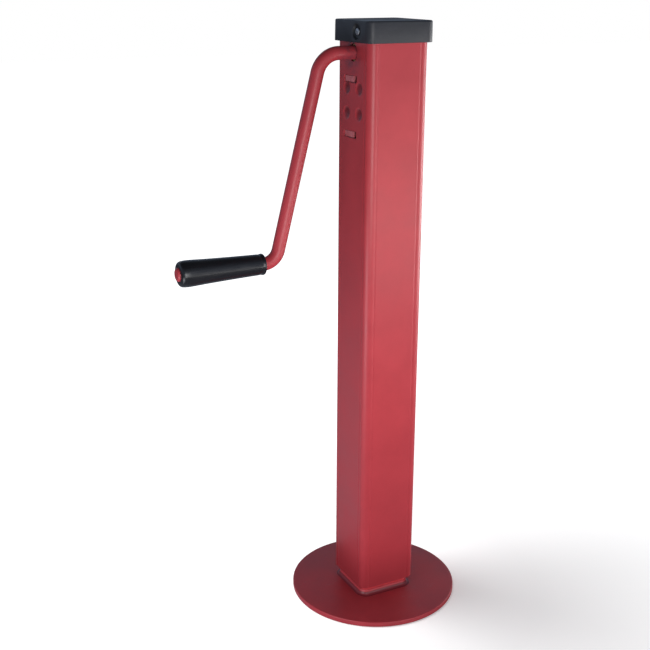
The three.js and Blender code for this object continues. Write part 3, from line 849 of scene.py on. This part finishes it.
def inner_tube():
    edge, dip = 0.4 * MM, VALLEY_DEPTH / 2
    low, high = LEG.low.z, LEG.high.z
    outside = [leg_ring(inset, z, dip) for inset, z in ((0, low), (0, high - edge), (edge, high))]
    inside = [leg_ring(WALL, z) for z in (high, low)]
    finished(loft("leg_tube", outside + inside, closed=True), "leg", "inner_tube", 30)


def foot_plate():
    """A disc with its edges rounded over."""
    profile = fillet(section(0, FOOT.high.x, FOOT.low.z, FOOT.high.z), 1.1 * MM, 6)
    return finished(lathe("foot_disc", profile, 240), "plate", "foot_plate", 50)


def path_round_leg(half, radius, count):
    """(point, outward direction, length run) for evenly spaced points round a rounded square."""
    flat = half - radius
    side, corner = 2 * flat, radius * HALF_TURN / 2
    total = 4 * (side + corner)
    for i in range(count):
        run = total * i / count
        quarter, rest = divmod(run, side + corner)
        turn = Quaternion((0, 0, 1), quarter * HALF_TURN / 2)
        if rest < side:
            point, out = Vector((half, -flat + rest, 0)), Vector((1, 0, 0))
        else:
            angle = (rest - side) / radius
            out = Vector((math.cos(angle), math.sin(angle), 0))
            point = Vector((flat, flat, 0)) + out * radius
        yield turn @ point, turn @ out, run


BEAD_SECTION = (  # (out, up) in shares of the bead's leg, from the inner tube's wall down to the plate
    (0.0, 1.0), (0.08, 0.985), (0.14, 0.93), (0.17, 0.84), (0.19, 0.74), (0.215, 0.63), (0.25, 0.5),
    (0.3, 0.37), (0.37, 0.25), (0.46, 0.16), (0.57, 0.09), (0.7, 0.04), (0.84, 0.0),
)
RIPPLE_PITCH = 2.3 * MM


def foot_weld():
    """A hollow fillet weld round the leg, laid in short overlapping ripples."""
    half = LEG_HALF + GAP
    leg = BEAD.high.x - half
    rings = []
    for point, out, run in path_round_leg(half, LEG_RADIUS + GAP, 720):
        base = point + Vector((0, 0, BEAD.low.z))
        wander = 0.05 * noise.noise(point * 90)
        ring = [base.copy()]
        for across, rise in BEAD_SECTION:
            phase = FULL_TURN * (run / RIPPLE_PITCH + 0.45 * rise * (1 - rise))
            ripple = 0.5 + 0.5 * math.cos(phase + 0.9 * math.sin(phase))
            swell = 1 + wander - 0.11 * ripple * rise * (0.3 + across)
            ring.append(base + (out * across * swell * 0.97 + Vector((0, 0, rise * min(swell, 1)))) * leg)
        rings.append(ring)
    return finished(loft("weld_bead", rings, closed=True), "bead", "foot_weld", 60)


# ---- inside: turned pieces ----
def turned_piece(node, finish, bore=0.0, edge=0.3 * MM, sides=64, axis="Z"):
    """A ring, washer or pin as wide and long as its CAD node, with rounded edges."""
    span = Span(node)
    index = "XYZ".index(axis)
    radius = max(span.size[i] for i in range(3) if i != index) / 2
    half = span.size[index] / 2
    profile = fillet(section(bore, radius, -half, half), edge, 3)
    finished(lathe(node + "_fine", profile, sides, axis, span.centre), finish, node, 50)


def inner_pieces():
    """The round pieces inside the tubes; each bore clears what passes through it."""
    turned_piece("upper_thrust_race", "steel", 8.1 * MM)
    turned_piece("lower_thrust_race", "steel", 8.1 * MM)
    turned_piece("crown_gear_washer", "bronze", 8.2 * MM)
    turned_piece("screw_stop_washer", "zinc", 10.4 * MM)
    turned_piece("leg_nut", "bronze", 10.4 * MM, edge=0.8 * MM)
    for pin in ("screw_stop_pin", "crown_gear_pin", "pinion_drive_pin"):
        turned_piece(pin, "steel", edge=0.4 * MM, sides=32, axis="Y")


CARRIED = {  # CAD nodes that keep their shape and get a finish
    "crank_bush": "bronze", "far_bush": "bronze", "carrier_top_plate": "tab", "carrier_bottom_plate": "tab",
    "carrier_cheek_left": "dark", "carrier_cheek_right": "dark", "thrust_ball_cage": "bronze",
    "lead_screw": "steel", "crown_gear": "dark", "bevel_pinion": "dark", "shaft_retaining_ring": "steel",
    "nut_plate": "dark",
}


def carried_nodes():
    """Paints the CAD nodes that are kept, and breaks their edges."""
    for node, finish in CARRIED.items():
        kept = frame["nodes"][node]
        material, _ = FINISH[finish]
        painted(kept, material)
        soften(kept, 0.25 * MM)


# ---- studio ----
WHITE = (1, 1, 1, 1)


def floor():
    """A pale floor that is nearly white to the camera, takes a soft shadow, and throws little light back."""
    size = 8
    ground = mesh_piece("floor", [(-size, -size, 0), (size, -size, 0), (size, size, 0), (-size, size, 0)],
                        [(0, 1, 2, 3)])
    material = bpy.data.materials.new("floor")
    material.use_nodes = True
    material.node_tree.nodes.clear()
    nodes = Nodes(material.node_tree)
    reach = nodes.node("VectorMath", operation="LENGTH")
    nodes.wire(nodes.node("TexCoord").outputs["Object"], reach.inputs[0])
    glow, seen, bounce = nodes.node("Emission"), nodes.node("BsdfDiffuse"), nodes.node("BsdfDiffuse")
    nodes.wire(nodes.spread(reach.outputs["Value"], 0.2, 0.9, 0.35, 1.0), glow.inputs["Strength"])
    seen.inputs["Color"].default_value = (0.8, 0.8, 0.8, 1)
    bounce.inputs["Color"].default_value = (0.3, 0.34, 0.4, 1)
    both, choose = nodes.node("AddShader"), nodes.node("MixShader")
    nodes.wire(glow.outputs[0], both.inputs[0])
    nodes.wire(seen.outputs[0], both.inputs[1])
    nodes.wire(nodes.node("LightPath").outputs["Is Camera Ray"], choose.inputs[0])
    nodes.wire(bounce.outputs[0], choose.inputs[1])
    nodes.wire(both.outputs[0], choose.inputs[2])
    nodes.wire(choose.outputs[0], nodes.node("OutputMaterial").inputs["Surface"])
    ground.data.materials.append(material)
    return ground


def world():
    """White behind the object and a dim neutral room for its lighting; reflections see a bluish horizon."""
    sky = bpy.data.worlds.new("studio")
    bpy.context.scene.world = sky
    sky.use_nodes = True
    nodes = Nodes(sky.node_tree)
    path = nodes.node("LightPath")
    height = nodes.part(nodes.node("TexCoord").outputs["Generated"], "Z")
    reflected = nodes.blend(nodes.spread(height, 0.35, 0.8), (0.36, 0.44, 0.58, 1), (0.05, 0.06, 0.07, 1))
    room = nodes.blend(path.outputs["Is Glossy Ray"], (0.15, 0.155, 0.17, 1), reflected)
    colour = nodes.blend(path.outputs["Is Camera Ray"], room, WHITE)
    nodes.wire(colour, sky.node_tree.nodes["Background"].inputs["Color"])


COOL_WHITE = (0.9, 0.95, 1.0)


def softbox(name, place, target, size, power, colour=(1, 1, 1), spread=180):
    """A rectangular lamp, power in watts and spread in degrees, that the camera doesn't see."""
    data = bpy.data.lights.new(name, "AREA")
    data.shape = "RECTANGLE"
    data.size, data.size_y = size
    data.energy = power
    data.color = colour
    data.spread = math.radians(spread)
    lamp = bpy.data.objects.new(name, data)
    lamp.location = place
    lamp.rotation_euler = (Vector(target) - Vector(place)).to_track_quat("-Z", "Y").to_euler()
    lamp.visible_camera = False
    bpy.context.scene.collection.objects.link(lamp)
    return lamp


def receivers(lamp, pieces, state):
    """Links a lamp to these pieces alone (INCLUDE), or to everything but them (EXCLUDE)."""
    group = bpy.data.collections.new(lamp.name + "_receivers")
    for piece in pieces:
        group.objects.link(piece)
    for entry in group.collection_objects:
        entry.light_linking.link_state = state
    lamp.light_linking.receiver_collection = group


def lights(ground, plate, bead):
    """Low softboxes round the jack, a lamp overhead for the floor alone, and two for the foot plate's rim."""
    key = softbox("key", (-0.23, -0.8, 0.42), (0, 0, 0.42), (0.4, 0.4), 1.21, spread=100)
    low_key = softbox("low_key", (0.5, -0.95, 0.12), (0, 0, 0.45), (0.35, 0.35), 1.0, spread=130)
    left_fill = softbox("left_fill", (-0.5, -0.2, 0.14), (0, 0, 0.2), (0.32, 0.26), 1.36, COOL_WHITE)
    right_edge = softbox("right_edge", (1.0, -0.3, 0.25), (0, 0, 0.4), (0.5, 0.6), 4.2, spread=120)
    back = softbox("back", (1.35, 0.7, 0.22), (0, 0, 0.3), (0.8, 0.5), 4.0)
    for lamp, unlit in ((low_key, []), (left_fill, []), (back, [bead]), (key, [plate]),
                        (right_edge, [plate, bead])):
        receivers(lamp, [ground, *unlit], "EXCLUDE")
    overhead = softbox("overhead", (-0.4, 0.3, 1.2), (0, 0, 0), (0.6, 0.6), 16.0)
    receivers(overhead, [ground], "INCLUDE")
    for across, away in ((0.0, -0.75), (0.75, -0.2)):
        rim_light = softbox("rim_light", (across, away, 0.03), (0, 0, 0.003), (0.4, 0.04), 1.0)
        receivers(rim_light, [plate], "INCLUDE")


CAMERA_PLACE = Vector((-0.5784, -0.9923, 0.7009))
CAMERA_HEADING = 62.69  # degrees from +X towards +Y
CAMERA_PITCH = 18.09  # degrees below level
CAMERA_ROLL = 0.2  # degrees about the line of sight
CAMERA_LENS = 59.88  # focal length and sensor width in millimetres
CAMERA_SENSOR = 36


def camera():
    data = bpy.data.cameras.new("camera")
    data.lens = CAMERA_LENS
    data.sensor_width = CAMERA_SENSOR
    data.clip_start = 0.05
    data.clip_end = 50
    seat = bpy.data.objects.new("camera", data)
    heading, pitch, roll = (math.radians(angle) for angle in (CAMERA_HEADING, CAMERA_PITCH, CAMERA_ROLL))
    level = math.cos(pitch)
    forward = Vector((math.cos(heading) * level, math.sin(heading) * level, -math.sin(pitch)))
    seat.rotation_mode = "QUATERNION"
    seat.rotation_quaternion = forward.to_track_quat("-Z", "Y") @ Quaternion((0, 0, 1), roll)
    seat.location = CAMERA_PLACE
    bpy.context.scene.collection.objects.link(seat)
    bpy.context.scene.camera = seat


camera()
outer_tube()
top_cap()
cap_screw(-1)
cap_screw(1)
crank_rod()
crank_grip()
inner_tube()
plate = foot_plate()
bead = foot_weld()
inner_pieces()
carried_nodes()
world()
lights(floor(), plate, bead)
bpy.context.scene.view_settings.view_transform = "Standard"
